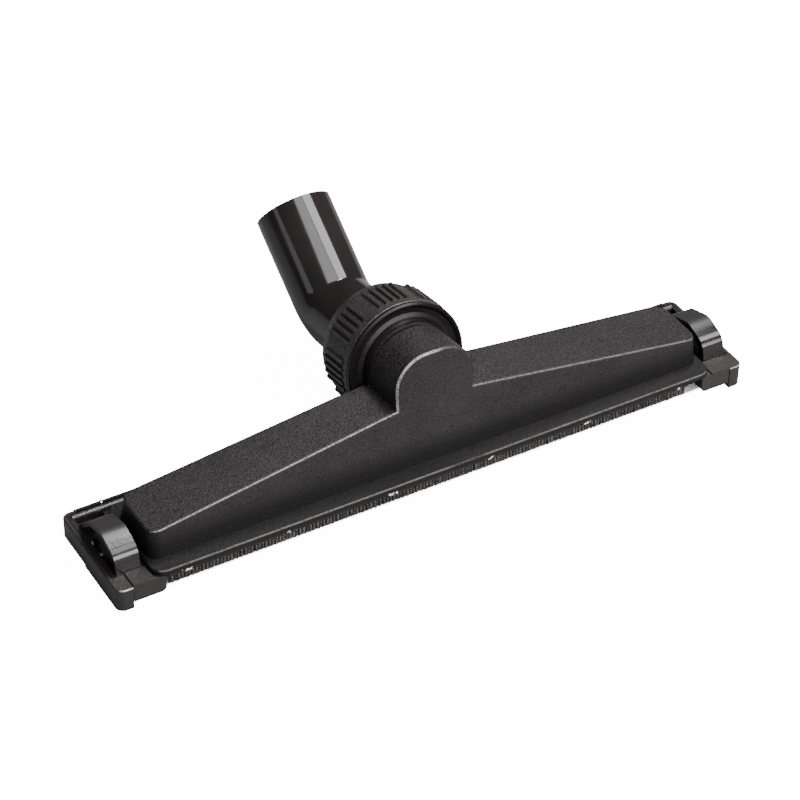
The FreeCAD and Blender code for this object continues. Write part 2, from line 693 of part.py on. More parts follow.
def axle(name, side):
    body = make_body(name)
    sketch = circle(body_sketch(body, name + "_section", "YZ"), "0", "0", "Size.axle_radius")
    pad(body, sketch, "Size.axle_length", symmetric=True)
    body.setExpression("Placement.Base.x", "%s * %s" % (side, WHEEL_X))
    body.setExpression("Placement.Base.y", "-Size.wheel_y")
    body.setExpression("Placement.Base.z", "Size.wheel_radius")
    return body


wheels = [wheel("wheel_left", "-1"), wheel("wheel_right", "1")]
axles = [axle("wheel_axle_left", "-1"), axle("wheel_axle_right", "1")]


# Strip holders and their bristle combs, modelled at y = 0 and placed front and rear
def strip(name, comb_name, y, top):
    holder = make_body(name)
    half = "Size.holder_depth / 2"
    low = "Size.frame_top - Size.holder_height"
    groove = "Size.tuft_depth / 2"
    section = outline(body_sketch(holder, name + "_section", "YZ"), [
        ("-(%s)" % half, low), ("-(%s)" % groove, low),
        ("-(%s)" % groove, "%s + Size.comb_height" % low),
        (groove, "%s + Size.comb_height" % low), (groove, low), (half, low),
        (half, top), ("-(%s)" % half, top)])
    pad(holder, section, "2 * %s" % STRIP_HALF, symmetric=True)
    holder.setExpression("Placement.Base.y", y)
    comb = make_body(comb_name)
    root = rectangle(body_sketch(comb, comb_name + "_root", "YZ"), "-(%s)" % groove,
                     "%s + Size.comb_overlap" % low, groove, "%s + Size.comb_height" % low)
    pad(comb, root, "2 * %s - 1" % STRIP_HALF, symmetric=True)
    tuft = rectangle(body_sketch(comb, comb_name + "_tuft", "XZ", "-Size.tuft_depth / 2"),
                     "-%s / 2 - Size.tuft_width / 2" % TUFT_SPAN, "0",
                     "-%s / 2 + Size.tuft_width / 2" % TUFT_SPAN,
                     "%s + Size.comb_overlap" % low)
    one = pad(comb, tuft, "Size.tuft_depth")
    row = comb.newObject("PartDesign::LinearPattern", comb_name + "_row")
    row.Originals = [one]
    row.Direction = (tuft, ["H_Axis"])
    row.setExpression("Length", TUFT_SPAN)
    row.setExpression("Occurrences", TUFT_COUNT)
    comb.Tip = row
    comb.setExpression("Placement.Base.y", y)
    doc.recompute()
    return holder, comb


front_y = "-(%s + Size.holder_depth / 2)" % RAIL_Y
front_pair = strip("strip_holder_front", "bristles_front", front_y, TOP)
rear_pair = strip("strip_holder_rear", "bristles_rear", "Size.rear_strip_y",
                  "Size.frame_top - 3")

# Spring clips: small hooks that hold the front strip under the brim
clips = make_body("strip_clips")
face = "-Size.holder_depth / 2"
clip_side = outline(body_sketch(
    clips, "clip_side", "YZ", "-%s / 2 - Size.clip_width / 2" % CLIP_SPAN), [
    (face, TOP), ("%s - Size.clip_thickness" % face, TOP),
    ("%s - Size.clip_thickness" % face, "%s - Size.clip_drop + Size.clip_thickness" % TOP),
    ("%s - Size.clip_reach + Size.clip_thickness" % face,
     "%s - Size.clip_drop + Size.clip_thickness" % TOP),
    ("%s - Size.clip_reach + Size.clip_thickness" % face,
     "%s - Size.clip_drop + Size.clip_upturn" % TOP),
    ("%s - Size.clip_reach" % face, "%s - Size.clip_drop + Size.clip_upturn" % TOP),
    ("%s - Size.clip_reach" % face, "%s - Size.clip_drop" % TOP),
    (face, "%s - Size.clip_drop" % TOP)])
one_clip = pad(clips, clip_side, "Size.clip_width")
clip_row = clips.newObject("PartDesign::LinearPattern", "clip_row")
clip_row.Originals = [one_clip]
clip_row.Direction = (clip_side, ["N_Axis"])
clip_row.setExpression("Length", CLIP_SPAN)
clip_row.setExpression("Occurrences", "Size.clip_count")
clips.Tip = clip_row
clips.setExpression("Placement.Base.y", front_y)
doc.recompute()


# Fasteners: frame screws driven from below and two small pins on the rear rail
def turned(name, points):
    body = make_body(name)
    revolve(body, outline(body_sketch(body, name + "_section", "XZ"), points))
    return body


screw_master = turned("screw_master", [
    ("0", "0"), ("Size.screw_head_radius", "0"),
    ("Size.screw_head_radius", "Size.screw_head_height * 0.5"),
    ("Size.screw_radius", "Size.screw_head_height"), ("Size.screw_radius", "Size.screw_length"),
    ("0", "Size.screw_length + 1")])
pin_master = turned("pin_master", [
    ("0", "-Size.pin_depth + 0.2"), ("Size.pin_radius * 0.7", "-Size.pin_depth + 0.2"),
    ("Size.pin_radius * 0.7", "0"), ("Size.pin_radius", "0"),
    ("Size.pin_radius", "Size.pin_height * 0.5"), ("Size.pin_radius * 0.6", "Size.pin_height"),
    ("0", "Size.pin_height")])


def copies(name, master, spots):
    group = doc.addObject("Part::Compound", name)
    members = []
    for number, (x, y, z) in enumerate(spots, 1):
        link = doc.addObject("App::Link", "%s_%d" % (name, number))
        link.LinkedObject = master
        link.LinkTransform = False
        link.setExpression("Placement.Base.x", x)
        link.setExpression("Placement.Base.y", y)
        link.setExpression("Placement.Base.z", z)
        members.append(link)
    group.Links = members
    group.Label = name
    return group


screw_low = "Size.frame_bottom + 0.4"
screws = copies("frame_screws", screw_master, [
    ("%d * %s" % (side, SCREW_X), "%d * %s" % (way, spot), screw_low)
    for side in (-1, 1) for spot, way in (("Size.screw_front_y", -1), ("Size.screw_rear_y", 1))])
rail_pins = copies("rail_pins", pin_master, [
    ("%d * %s" % (side, PIN_X), "Size.pin_y", TOP) for side in (-1, 1)])


# Pieces turned on the neck axis: collar, washer and union nut
def coaxial(name, points):
    body = turned(name, points)
    on_neck_axis(body)
    return body


collar = coaxial("neck_collar", [
    ("Size.neck_radius + Size.collar_fit", "Size.collar_lip"),
    ("Size.neck_radius + 0.9", "Size.collar_lip"),
    ("Size.neck_radius + 2.0", "Size.collar_face + 1.0"),
    ("Size.neck_radius + 4.4", "Size.collar_face + 1.8"),
    ("Size.collar_radius - 3.6", "Size.collar_face + 1.4"),
    ("Size.collar_radius - 1.8", "Size.collar_face + 0.1"),
    ("Size.collar_radius - 1.0", "Size.collar_face"),
    ("Size.collar_radius", "Size.collar_face + 1.0"),
    ("Size.collar_radius", "Size.collar_back - 0.3"),
    ("Size.collar_radius - 0.3", "Size.collar_back"),
    ("Size.sleeve_radius", "Size.collar_back"), ("Size.sleeve_radius", "Size.sleeve_end"),
    ("Size.neck_radius + Size.collar_fit", "Size.sleeve_end")])
washer = coaxial("swivel_washer", [
    ("Size.tube_radius + 0.3", "Size.sleeve_end"), ("Size.flange_radius", "Size.sleeve_end"),
    ("Size.flange_radius", WASHER_END), ("Size.tube_radius + 0.3", WASHER_END)])
nut_bore = "Size.tube_radius + Size.nut_lip_clearance"
nut_thread = "Size.sleeve_radius + Size.nut_thread_gap"
nut = coaxial("union_nut", [
    (nut_thread, NUT_START), ("Size.nut_radius - 0.4", NUT_START),
    ("Size.nut_radius", "%s + 0.4" % NUT_START),
    ("Size.nut_radius", "%s + Size.nut_lip_width - 0.4" % NUT_START),
    ("Size.nut_waist_radius", "%s + Size.nut_lip_width" % NUT_START),
    ("Size.nut_waist_radius", "Size.nut_shoulder_start"),
    ("Size.nut_waist_radius - Size.nut_shoulder_drop", "Size.nut_shoulder_start + 6.5"),
    ("Size.nut_rear_radius + 0.8", "Size.nut_end - 1"),
    ("Size.nut_rear_radius", "Size.nut_end"), (nut_bore, "Size.nut_end"),
    (nut_bore, POCKET_END), (nut_thread, POCKET_END)])
ribs = body_sketch(nut, "nut_ribs", "XY", "%s + Size.nut_lip_width - 0.2" % NUT_START)


def polar(radius, angle):
    return ("(%s) * cos(%s)" % (radius, angle), "(%s) * sin(%s)" % (radius, angle))


for place in (-2, -1, 0, 1, 2):
    centre = "%g * Size.rib_pitch_angle" % place
    foot = "Size.nut_waist_radius - 0.6"
    outline(ribs, [
        polar(foot, "(%s - Size.rib_foot_angle / 2) * 1 deg" % centre),
        polar("Size.rib_radius", "(%s - Size.rib_crest_angle / 2) * 1 deg" % centre),
        polar("Size.rib_radius", "(%s + Size.rib_crest_angle / 2) * 1 deg" % centre),
        polar(foot, "(%s + Size.rib_foot_angle / 2) * 1 deg" % centre)])
rib_pad = pad(nut, ribs, "Size.rib_end - (%s + Size.nut_lip_width - 0.2)" % NUT_START)
rib_ring = nut.newObject("PartDesign::PolarPattern", "rib_ring")
rib_ring.Originals = [rib_pad]
rib_ring.Axis = (ribs, ["N_Axis"])
rib_ring.Angle = 360.0
rib_ring.setExpression("Occurrences", "Size.rib_groups")
nut.Tip = rib_ring
doc.recompute()

# Elbow tube: swept round tube with one tight bend and a retaining flange inside the nut
elbow = make_body("elbow_tube")
spine = body_sketch(elbow, "elbow_spine", "YZ")
reach = "(Size.bend_radius * tan(Size.bend_angle / 2 * 1 deg))"
spine.addGeometry(Part.LineSegment(FreeCAD.Vector(0, 5, 0), FreeCAD.Vector(0, 75, 0)), False)
turn = Part.Circle(FreeCAD.Vector(-25, 75, 0), FreeCAD.Vector(0, 0, 1), 25)
spine.addGeometry(Part.ArcOfCircle(turn, 0, math.radians(34.5)), False)
spine.addGeometry(Part.LineSegment(FreeCAD.Vector(-4.5, 89, 0), FreeCAD.Vector(-42, 145, 0)), False)
spine.addConstraint(Sketcher.Constraint("Coincident", 0, 2, 1, 1))
spine.addConstraint(Sketcher.Constraint("Coincident", 1, 2, 2, 1))
fix_point(spine, 0, 1, "0", "Size.spigot_start")
fix_point(spine, 0, 2, "0", "Size.bend_point - %s" % reach)
bend_size = spine.addConstraint(Sketcher.Constraint("Radius", 1, 25.0))
spine.setExpression("Constraints[%d]" % bend_size, "Size.bend_radius")
fix_point(spine, 1, 2, "-%s * sin(Size.bend_angle * 1 deg)" % reach,
          "Size.bend_point + %s * cos(Size.bend_angle * 1 deg)" % reach)
fix_point(spine, 2, 2, "-Size.free_length * sin(Size.bend_angle * 1 deg)",
          "Size.bend_point + Size.free_length * cos(Size.bend_angle * 1 deg)")
skin = circle(body_sketch(elbow, "elbow_section", "XY", "Size.spigot_start"), "0", "0",
              "Size.tube_radius")
circle(skin, "0", "0", TUBE_BORE)
pipe = elbow.newObject("PartDesign::AdditivePipe", "elbow_sweep")
pipe.Profile = skin
pipe.Spine = (spine, [])
doc.recompute()
flange = outline(body_sketch(elbow, "flange_section", "XZ"), [
    ("Size.tube_radius - 1", FLANGE_START), ("Size.flange_radius", FLANGE_START),
    ("Size.flange_radius", FLANGE_END), ("Size.tube_radius - 1", FLANGE_END)])
revolve(elbow, flange)
on_neck_axis(elbow)
doc.recompute()

# Every separate piece, moved back so that the origin lies under the middle of the whole head
REAR_REACH = (
    "(Size.bend_point * cos(Size.neck_drop * 1 deg)"
    " + Size.free_length * cos((Size.bend_angle - Size.neck_drop) * 1 deg)"
    " + Size.tube_radius * sin((Size.bend_angle - Size.neck_drop) * 1 deg))")
MIDDLE_Y = "((%s - %s) / 2)" % (REAR_REACH, FRONT)
NODES = [
    "nozzle_housing", "base_frame", "end_cap_left", "end_cap_right", "corner_block_left",
    "corner_block_right", "wheel_fender_left", "wheel_fender_right", "wheel_left", "wheel_right",
    "wheel_axle_left", "wheel_axle_right", "strip_holder_front", "strip_holder_rear",
    "bristles_front", "bristles_rear", "strip_clips", "frame_screws", "rail_pins",
    "neck_collar", "swivel_washer", "union_nut", "elbow_tube"]
for name in NODES:
    node = doc.getObject(name)
    own_y = [text for path, text in node.ExpressionEngine if path.endswith("Placement.Base.y")]
    node.setExpression("Placement.Base.y", "%s - %s" % ((own_y or ["0"])[0], MIDDLE_Y))
doc.recompute()

# Checks, then one file for each piece
for item in doc.Objects:
    if "Invalid" in item.State or "Error" in item.State:
        raise RuntimeError("feature failed: %s %s" % (item.Name, item.State))
os.makedirs("parts", exist_ok=True)
for name in NODES:
    shape = doc.getObject(name).Shape
    if shape.isNull() or not shape.isValid():
        raise RuntimeError("bad shape: " + name)
    shape.exportStep("parts/%s.step" % name)
    box = shape.BoundBox
    print("%-20s solids %3d vol %9.1f x %.1f %.1f y %.1f %.1f z %.1f %.1f" % (
        name, len(shape.Solids), shape.Volume, box.XMin, box.XMax, box.YMin, box.YMax,
        box.ZMin, box.ZMax))
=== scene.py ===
import bpy
import math
from mathutils import Matrix, Vector


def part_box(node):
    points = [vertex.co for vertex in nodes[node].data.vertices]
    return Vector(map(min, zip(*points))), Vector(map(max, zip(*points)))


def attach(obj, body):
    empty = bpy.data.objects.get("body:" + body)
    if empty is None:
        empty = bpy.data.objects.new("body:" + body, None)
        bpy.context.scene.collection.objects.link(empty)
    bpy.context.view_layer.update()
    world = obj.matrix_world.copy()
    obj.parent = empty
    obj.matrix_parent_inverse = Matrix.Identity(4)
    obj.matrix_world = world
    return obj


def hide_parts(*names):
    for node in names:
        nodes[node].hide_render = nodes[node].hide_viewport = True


# Vacuum floor brush head: looks, bristle filaments, floor, lights and camera round the CAD pieces.
# Lengths are metres. X runs along the head, +Y to the rear where the elbow leaves, +Z up.

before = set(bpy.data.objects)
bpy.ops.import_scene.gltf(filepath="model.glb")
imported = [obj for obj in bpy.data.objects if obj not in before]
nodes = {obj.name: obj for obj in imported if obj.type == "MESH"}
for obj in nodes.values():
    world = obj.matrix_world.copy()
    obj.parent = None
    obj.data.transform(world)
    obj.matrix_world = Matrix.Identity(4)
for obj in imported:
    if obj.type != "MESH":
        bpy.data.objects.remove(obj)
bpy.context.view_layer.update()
scene = bpy.context.scene

# Places on the head, taken from the boxes of the pieces
SCREW_TIP_OVER_BRIM = 0.0026
BRIM_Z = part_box("frame_screws")[1][2] - SCREW_TIP_OVER_BRIM
CAP_HALF_DEPTH = 0.036
HEAD_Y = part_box("end_cap_left")[0][1] + CAP_HALF_DEPTH
FENDER_FRONT_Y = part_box("wheel_fender_left")[0][1]

# Bristles: the splay is in radians, and a bunch draws its filaments in by a share of its pitch
FILAMENT_PITCH = 0.00055
FILAMENT_RADIUS = 0.0003
FILAMENT_ROWS = 4
FILAMENT_SIDES = 5
FILAMENT_SPLAY = 0.03
BUNCH_PITCH = 0.00295
BUNCH_SHARE = 0.13
TUFT_PITCH = 0.0021
# Room for the lean, so that the rows stay in their strip's box: both ends, both faces, the foot
ROW_END_MARGIN = 0.001
ROW_FACE_MARGIN = 0.0007
ROW_FOOT_MARGIN = 0.0002

# Floor and world: the glow and the white are emission strengths
FLOOR_HALF = 6.0
FLOOR_ROUGHNESS = 0.9
FLOOR_ALBEDO = 0.18
FLOOR_GLOW = 0.05
FLOOR_WHITE = 14.0
PAPER_SCALE = 3.0
PAPER_DARK = 0.93
PAPER_BRIGHT = 0.96
# Softness of the edge of the painted shadow under the head
SHADOW_SOFT = 0.001
WORLD_DIFFUSE = 0.32
WORLD_GLOSSY = 0.07

# Camera, fitted to the photograph: angles in degrees, picture sizes in pixels
CAMERA_AZIMUTH = -30.18
CAMERA_ELEVATION = 38.64
CAMERA_ROLL = 0.61
CAMERA_DISTANCE = 1.5539
CAMERA_AIM = (-0.0035, HEAD_Y + 0.0376, 0.0155)
FOCAL_PIXELS = 2740.1
PICTURE_PIXELS = 800.0
PICTURE_MIDDLE = 400.0
OPTICAL_X = 374.8
OPTICAL_Y = 401.8
SENSOR_WIDTH = 36.0
CLIP_END = 50.0


# Helpers for materials: each graph works in object coordinates
def linear(value):
    value = value / 255.0
    return value / 12.92 if value <= 0.04045 else ((value + 0.055) / 1.055) ** 2.4


def tone(red, green, blue):
    return (linear(red), linear(green), linear(blue), 1.0)


def grey(value):
    return (value, value, value, 1.0)


def new_material(name):
    material = bpy.data.materials.new(name)
    material.use_nodes = True
    tree = material.node_tree
    tree.nodes.clear()
    out = tree.nodes.new("ShaderNodeOutputMaterial")
    shader = tree.nodes.new("ShaderNodeBsdfPrincipled")
    tree.links.new(shader.outputs["BSDF"], out.inputs["Surface"])
    place = tree.nodes.new("ShaderNodeTexCoord")
    return material, tree, shader, place.outputs["Object"]


def noise(tree, place, scale, detail=2.0, roughness=0.5):
    node = tree.nodes.new("ShaderNodeTexNoise")
    node.inputs["Scale"].default_value = scale
    node.inputs["Detail"].default_value = detail
    node.inputs["Roughness"].default_value = roughness
    tree.links.new(place, node.inputs["Vector"])
    return node.outputs["Fac"]


def ramp(tree, value, low, high, start=0.35, end=0.65):
    # Runs from low to high while the value runs from start to end, and stays level outside
    node = tree.nodes.new("ShaderNodeMapRange")
    node.inputs["From Min"].default_value = start
    node.inputs["From Max"].default_value = end
    node.inputs["To Min"].default_value = low
    node.inputs["To Max"].default_value = high
    tree.links.new(value, node.inputs["Value"])
    return node.outputs["Result"]


def rising(tree, value, start, end):
    return ramp(tree, value, 0.0, 1.0, start, end)


def falling(tree, value, start, end):
    return ramp(tree, value, 1.0, 0.0, start, end)


def math_node(tree, kind, one, two=None, value=None):
    node = tree.nodes.new("ShaderNodeMath")
    node.operation = kind
    tree.links.new(one, node.inputs[0])
    if two is not None:
        tree.links.new(two, node.inputs[1])
    if value is not None:
        node.inputs[1].default_value = value
    return node.outputs["Value"]


def product(tree, one, two):
    return math_node(tree, "MULTIPLY", one, two)


def larger(tree, one, two):
    return math_node(tree, "MAXIMUM", one, two)


def axes_of(tree, vector):
    node = tree.nodes.new("ShaderNodeSeparateXYZ")
    tree.links.new(vector, node.inputs["Vector"])
    return node.outputs


def normal_of(tree):
    # The surface's normal in the object's own axes
    facing = tree.nodes.new("ShaderNodeTexCoord")
    return axes_of(tree, facing.outputs["Normal"])


def mix_colors(tree, value, first, second):
    node = tree.nodes.new("ShaderNodeMix")
    node.data_type = "RGBA"
    node.inputs["A"].default_value = first
    node.inputs["B"].default_value = second
    tree.links.new(value, node.inputs["Factor"])
    return node.outputs["Result"]


def bump(tree, height, strength, distance, shader):
    node = tree.nodes.new("ShaderNodeBump")
    node.inputs["Strength"].default_value = strength
    node.inputs["Distance"].default_value = distance
    tree.links.new(height, node.inputs["Height"])
    tree.links.new(node.outputs["Normal"], shader.inputs["Normal"])


def set_where(tree, shader, mask, name, value):
    # Puts a new value on a linked socket of the shader where the mask is 1
    socket = shader.inputs[name]
    source = socket.links[0].from_socket
    node = tree.nodes.new("ShaderNodeMix")
    node.data_type = "RGBA" if name == "Base Color" else "FLOAT"
    pins = [pin for pin in node.inputs if pin.enabled]
    tree.links.new(mask, pins[0])
    tree.links.new(source, pins[1])
    pins[2].default_value = value
    tree.links.new([pin for pin in node.outputs if pin.enabled][0], socket)


# Surfaces
CLOUD_SCALE = 22.0
CLOUD_DETAIL = 3.0
CLOUD_ROUGHNESS = 0.6
GRAIN_CLOUD_SCALE = 30.0
GRAIN_CLOUD_SHARE = 0.10
GRAIN_RANGE = (0.34, 0.66)
GRAIN_MIDDLE = 0.5
GRAIN_UP_RANGE = (0.15, 0.6)
GRAIN_BUMP = 0.6
GRAIN_BUMP_DISTANCE = 0.0005
ROUGH_SPREAD = 0.1
STREAK_SCALE = 260.0
STREAK_STRETCH = 14.0
STREAK_DARKER = 0.85
STREAK_BUMP = 0.1
STREAK_BUMP_DISTANCE = 0.0001


def plastic(name, first, second, rough_low, rough_high, grain_scale, grain_strength,
            grain_distance=0.0002, specular=0.5):
    # Smooth moulded plastic: two near tones in soft clouds under a faint grain
    material, tree, shader, place = new_material(name)
    clouds = noise(tree, place, CLOUD_SCALE, CLOUD_DETAIL, CLOUD_ROUGHNESS)
    grain = noise(tree, place, grain_scale, detail=3.0, roughness=0.65)
    factor = ramp(tree, clouds, 0.0, 1.0)
    tree.links.new(mix_colors(tree, factor, first, second), shader.inputs["Base Color"])
    tree.links.new(ramp(tree, clouds, rough_low, rough_high), shader.inputs["Roughness"])
    bump(tree, grain, grain_strength, grain_distance, shader)
    shader.inputs["Specular IOR Level"].default_value = specular
    return material, tree, shader, place


def grained(name, dark, bright, scale, weak, strong, rough, specular=0.5):
    # Spark-eroded plastic: fine bright and dark grains, strongest where the wall faces up
    material, tree, shader, place = new_material(name)
    strength = ramp(tree, normal_of(tree)["Z"], weak, strong, *GRAIN_UP_RANGE)
    fine = noise(tree, place, scale, detail=2.0, roughness=0.7)
    grain = ramp(tree, fine, -0.5, 0.5, *GRAIN_RANGE)
    cloud = noise(tree, place, GRAIN_CLOUD_SCALE, CLOUD_DETAIL, CLOUD_ROUGHNESS)
    clouds = ramp(tree, cloud, -GRAIN_CLOUD_SHARE, GRAIN_CLOUD_SHARE)
    factor = math_node(tree, "ADD", product(tree, grain, strength), clouds)
    factor = math_node(tree, "ADD", factor, value=GRAIN_MIDDLE)
    tree.links.new(mix_colors(tree, factor, dark, bright), shader.inputs["Base Color"])
    tree.links.new(ramp(tree, fine, rough + ROUGH_SPREAD, rough - ROUGH_SPREAD),
                   shader.inputs["Roughness"])
    bump(tree, fine, GRAIN_BUMP, GRAIN_BUMP_DISTANCE, shader)
    shader.inputs["Specular IOR Level"].default_value = specular
    return material, tree, shader, place


def steel(name, base, rough_low, rough_high):
    # Metal with streaks along X
    material, tree, shader, place = new_material(name)
    stretch = tree.nodes.new("ShaderNodeMapping")
    stretch.inputs["Scale"].default_value = (1.0, STREAK_STRETCH, STREAK_STRETCH)
    tree.links.new(place, stretch.inputs["Vector"])
    streaks = noise(tree, stretch.outputs["Vector"], STREAK_SCALE, detail=3.0)
    darker = tuple(STREAK_DARKER * part for part in base[:3]) + (1.0,)
    tree.links.new(mix_colors(tree, streaks, base, darker), shader.inputs["Base Color"])
    tree.links.new(ramp(tree, streaks, rough_low, rough_high), shader.inputs["Roughness"])
    shader.inputs["Metallic"].default_value = 1.0
    bump(tree, streaks, STREAK_BUMP, STREAK_BUMP_DISTANCE, shader)
    return material


# Painted highlight on the moulded edges: each mask runs over its range, and the lengths are metres
EDGE_TURN = (0.42, 0.49)
EDGE_UPPER = (0.25, 0.40)
EDGE_LEFT = (0.0, 0.3)
EDGE_BREAKUP = (0.36, 0.56)
EDGE_PATCHES = (0.42, 0.60)
NECK_SIDE = (0.027, 0.030)
OVER_BRIM = (BRIM_Z - 0.001, BRIM_Z + 0.002)
RIGHT_HALF = (0.0, 0.03)
CROWN_MIDDLE = (-0.002, 0.006)
CROWN_RIGHT = (0.0236, 0.0246)
BREAKUP_SCALE = 620.0
BREAKUP_LEAST = 0.35
HIGHLIGHT_PATCH_SCALE = 14.0
HIGHLIGHT_PATCH_MOST = 0.6
RIGHT_SHARE = 0.4
CROWN_SHARE = 0.1


def painted_edge_highlight(tree, shader, place, light, rough, least=0.0):
    # A painted highlight on the moulded front edges: paler colour and a smoother surface where a
    # rounded edge turns from the front face to the top, and round the left side of the neck
    normal = normal_of(tree)
    spot = axes_of(tree, place)
    # Forward part times the rest of the normal is largest half way round the edge
    forward = math_node(tree, "MULTIPLY", normal["Y"], value=-1.0)
    squared = product(tree, forward, forward)
    rest = math_node(tree, "SQRT", falling(tree, squared, 0.0, 1.0))
    edge = rising(tree, product(tree, forward, rest), *EDGE_TURN)
    upper = rising(tree, normal["Z"], *EDGE_UPPER)
    neck = falling(tree, math_node(tree, "ABSOLUTE", spot["X"]), *NECK_SIDE)
    left = product(tree, neck, falling(tree, normal["X"], *EDGE_LEFT))
    breakup = ramp(tree, noise(tree, place, BREAKUP_SCALE), BREAKUP_LEAST, 1.0, *EDGE_BREAKUP)
    highlight = product(tree, edge, larger(tree, upper, left))
    highlight = product(tree, highlight, breakup)
    # Painted highlight on the brim's rim in patches only, weaker on the right half of the head
    # than the left
    most = HIGHLIGHT_PATCH_MOST + (1.0 - HIGHLIGHT_PATCH_MOST) * least
    patches = noise(tree, place, HIGHLIGHT_PATCH_SCALE, detail=1.0)
    patches = ramp(tree, patches, least, most, *EDGE_PATCHES)
    above = rising(tree, spot["Z"], *OVER_BRIM)
    right = ramp(tree, spot["X"], 1.0, RIGHT_SHARE, *RIGHT_HALF)
    # Round the neck the line fades out at the crown and starts again on the right ridge
    crown = larger(tree, ramp(tree, spot["X"], 1.0, CROWN_SHARE, *CROWN_MIDDLE),
                   rising(tree, spot["X"], *CROWN_RIGHT))
    right = product(tree, right, crown)
    amount = product(tree, larger(tree, above, patches), right)
    mask = product(tree, highlight, amount)
    set_where(tree, shader, mask, "Base Color", light)
    set_where(tree, shader, mask, "Roughness", rough)


# Shade on the foot of the front wall and on the brim
WALL_FOOT = (BRIM_Z + 0.007, BRIM_Z + 0.018)
WALL_UPRIGHT = (0.5, 0.9)
BRIM_TOP = (BRIM_Z, BRIM_Z + 0.001)


def shade_low(tree, shader, place, dark):
    # The brim and the foot of the front wall are darker than the wall above
    spot = axes_of(tree, place)
    foot = falling(tree, spot["Z"], *WALL_FOOT)
    wall = product(tree, foot, falling(tree, normal_of(tree)["Z"], *WALL_UPRIGHT))
    brim = falling(tree, spot["Z"], *BRIM_TOP)
    set_where(tree, shader, larger(tree, wall, brim), "Base Color", dark)


housing_mat, tree, shader, place = grained(
    "housing_grain", dark=tone(1, 1, 1), bright=tone(44, 40, 41), scale=1250.0,
    weak=0.9, strong=2.6, rough=0.5, specular=0.28)
shade_low(tree, shader, place, dark=tone(9, 7, 7))
# Painted highlight along the housing's moulded front edges
painted_edge_highlight(tree, shader, place, light=tone(128, 123, 120), rough=0.30)
cap_mat, tree, shader, place = grained(
    "cap_grain", dark=tone(10, 8, 8), bright=tone(46, 42, 42), scale=820.0,
    weak=0.5, strong=0.5, rough=0.42, specular=0.40)
# Painted highlight along the front top edges of the caps and corner blocks
painted_edge_highlight(tree, shader, place, light=tone(180, 175, 170), rough=0.25, least=0.75)
nut_mat = grained(
    "nut_grain", dark=tone(9, 7, 7), bright=tone(56, 51, 52), scale=900.0,
    weak=0.6, strong=0.8, rough=0.42)[0]
frame_mat = plastic(
    "frame_satin", tone(24, 21, 21), tone(34, 31, 31), rough_low=0.16, rough_high=0.26,
    grain_scale=1900.0, grain_strength=0.6, grain_distance=0.0003)[0]
collar_mat = plastic(
    "collar_satin", tone(10, 8, 8), tone(18, 15, 15), rough_low=0.32, rough_high=0.40,
    grain_scale=700.0, grain_strength=0.3, grain_distance=0.0003, specular=0.2)[0]
tube_mat = plastic(
    "tube_gloss", tone(26, 23, 23), tone(30, 27, 27), rough_low=0.07, rough_high=0.12,
    grain_scale=900.0, grain_strength=0.04, grain_distance=0.00008)[0]
washer_mat = plastic(
    "washer_grey", tone(170, 168, 164), tone(180, 178, 174), rough_low=0.4, rough_high=0.5,
    grain_scale=900.0, grain_strength=0.1)[0]
wheel_mat = plastic(
    "wheel_black", tone(24, 22, 22), tone(32, 30, 30), rough_low=0.55, rough_high=0.7,
    grain_scale=1200.0, grain_strength=0.3)[0]
steel_mat = steel("steel_brushed", tone(190, 190, 192), rough_low=0.3, rough_high=0.42)
pin_mat = steel("pin_bright", tone(225, 223, 220), rough_low=0.16, rough_high=0.26)

# The fender is glossy on its front slope and dull from its crown to the rear
FENDER_DULL = (FENDER_FRONT_Y + 0.010, FENDER_FRONT_Y + 0.019)
FENDER_DULL_ROUGH = 0.55
fender_mat, tree, shader, place = plastic(
    "fender_gloss", tone(20, 18, 18), tone(30, 27, 27), rough_low=0.14, rough_high=0.22,
    grain_scale=500.0, grain_strength=0.12)
crest = rising(tree, axes_of(tree, place)["Y"], *FENDER_DULL)
set_where(tree, shader, crest, "Roughness", FENDER_DULL_ROUGH)

# The clips are dark, with painted glints as small bright specks
GLINT_SCALE = 420.0
GLINT_RANGE = (0.50, 0.56)
clip_mat, tree, shader, place = plastic(
    "clip_glints", tone(26, 24, 23), tone(26, 24, 23), rough_low=0.25, rough_high=0.40,
    grain_scale=600.0, grain_strength=0.6, grain_distance=0.0004)
glints = rising(tree, noise(tree, place, GLINT_SCALE, detail=1.0), *GLINT_RANGE)
set_where(tree, shader, glints, "Base Color", tone(235, 232, 228))

# The bristles stand in small tufts, with painted shade in the gap between one and the next
GAP_SHADE_SHARE = 0.9
GAP_SHADE_RANGE = (-0.1, 0.5)
bristle_mat, tree, shader, place = grained(
    "bristle_dark", dark=tone(14, 13, 13), bright=tone(124, 118, 114), scale=1100.0,
    weak=1.3, strong=1.3, rough=0.42)
wave = math_node(tree, "MULTIPLY", axes_of(tree, place)["X"], value=2.0 * math.pi / TUFT_PITCH)
tuft_gap_shade = ramp(tree, math_node(tree, "SINE", wave), 0.0, GAP_SHADE_SHARE, *GAP_SHADE_RANGE)
set_where(tree, shader, tuft_gap_shade, "Base Color", tone(8, 7, 7))

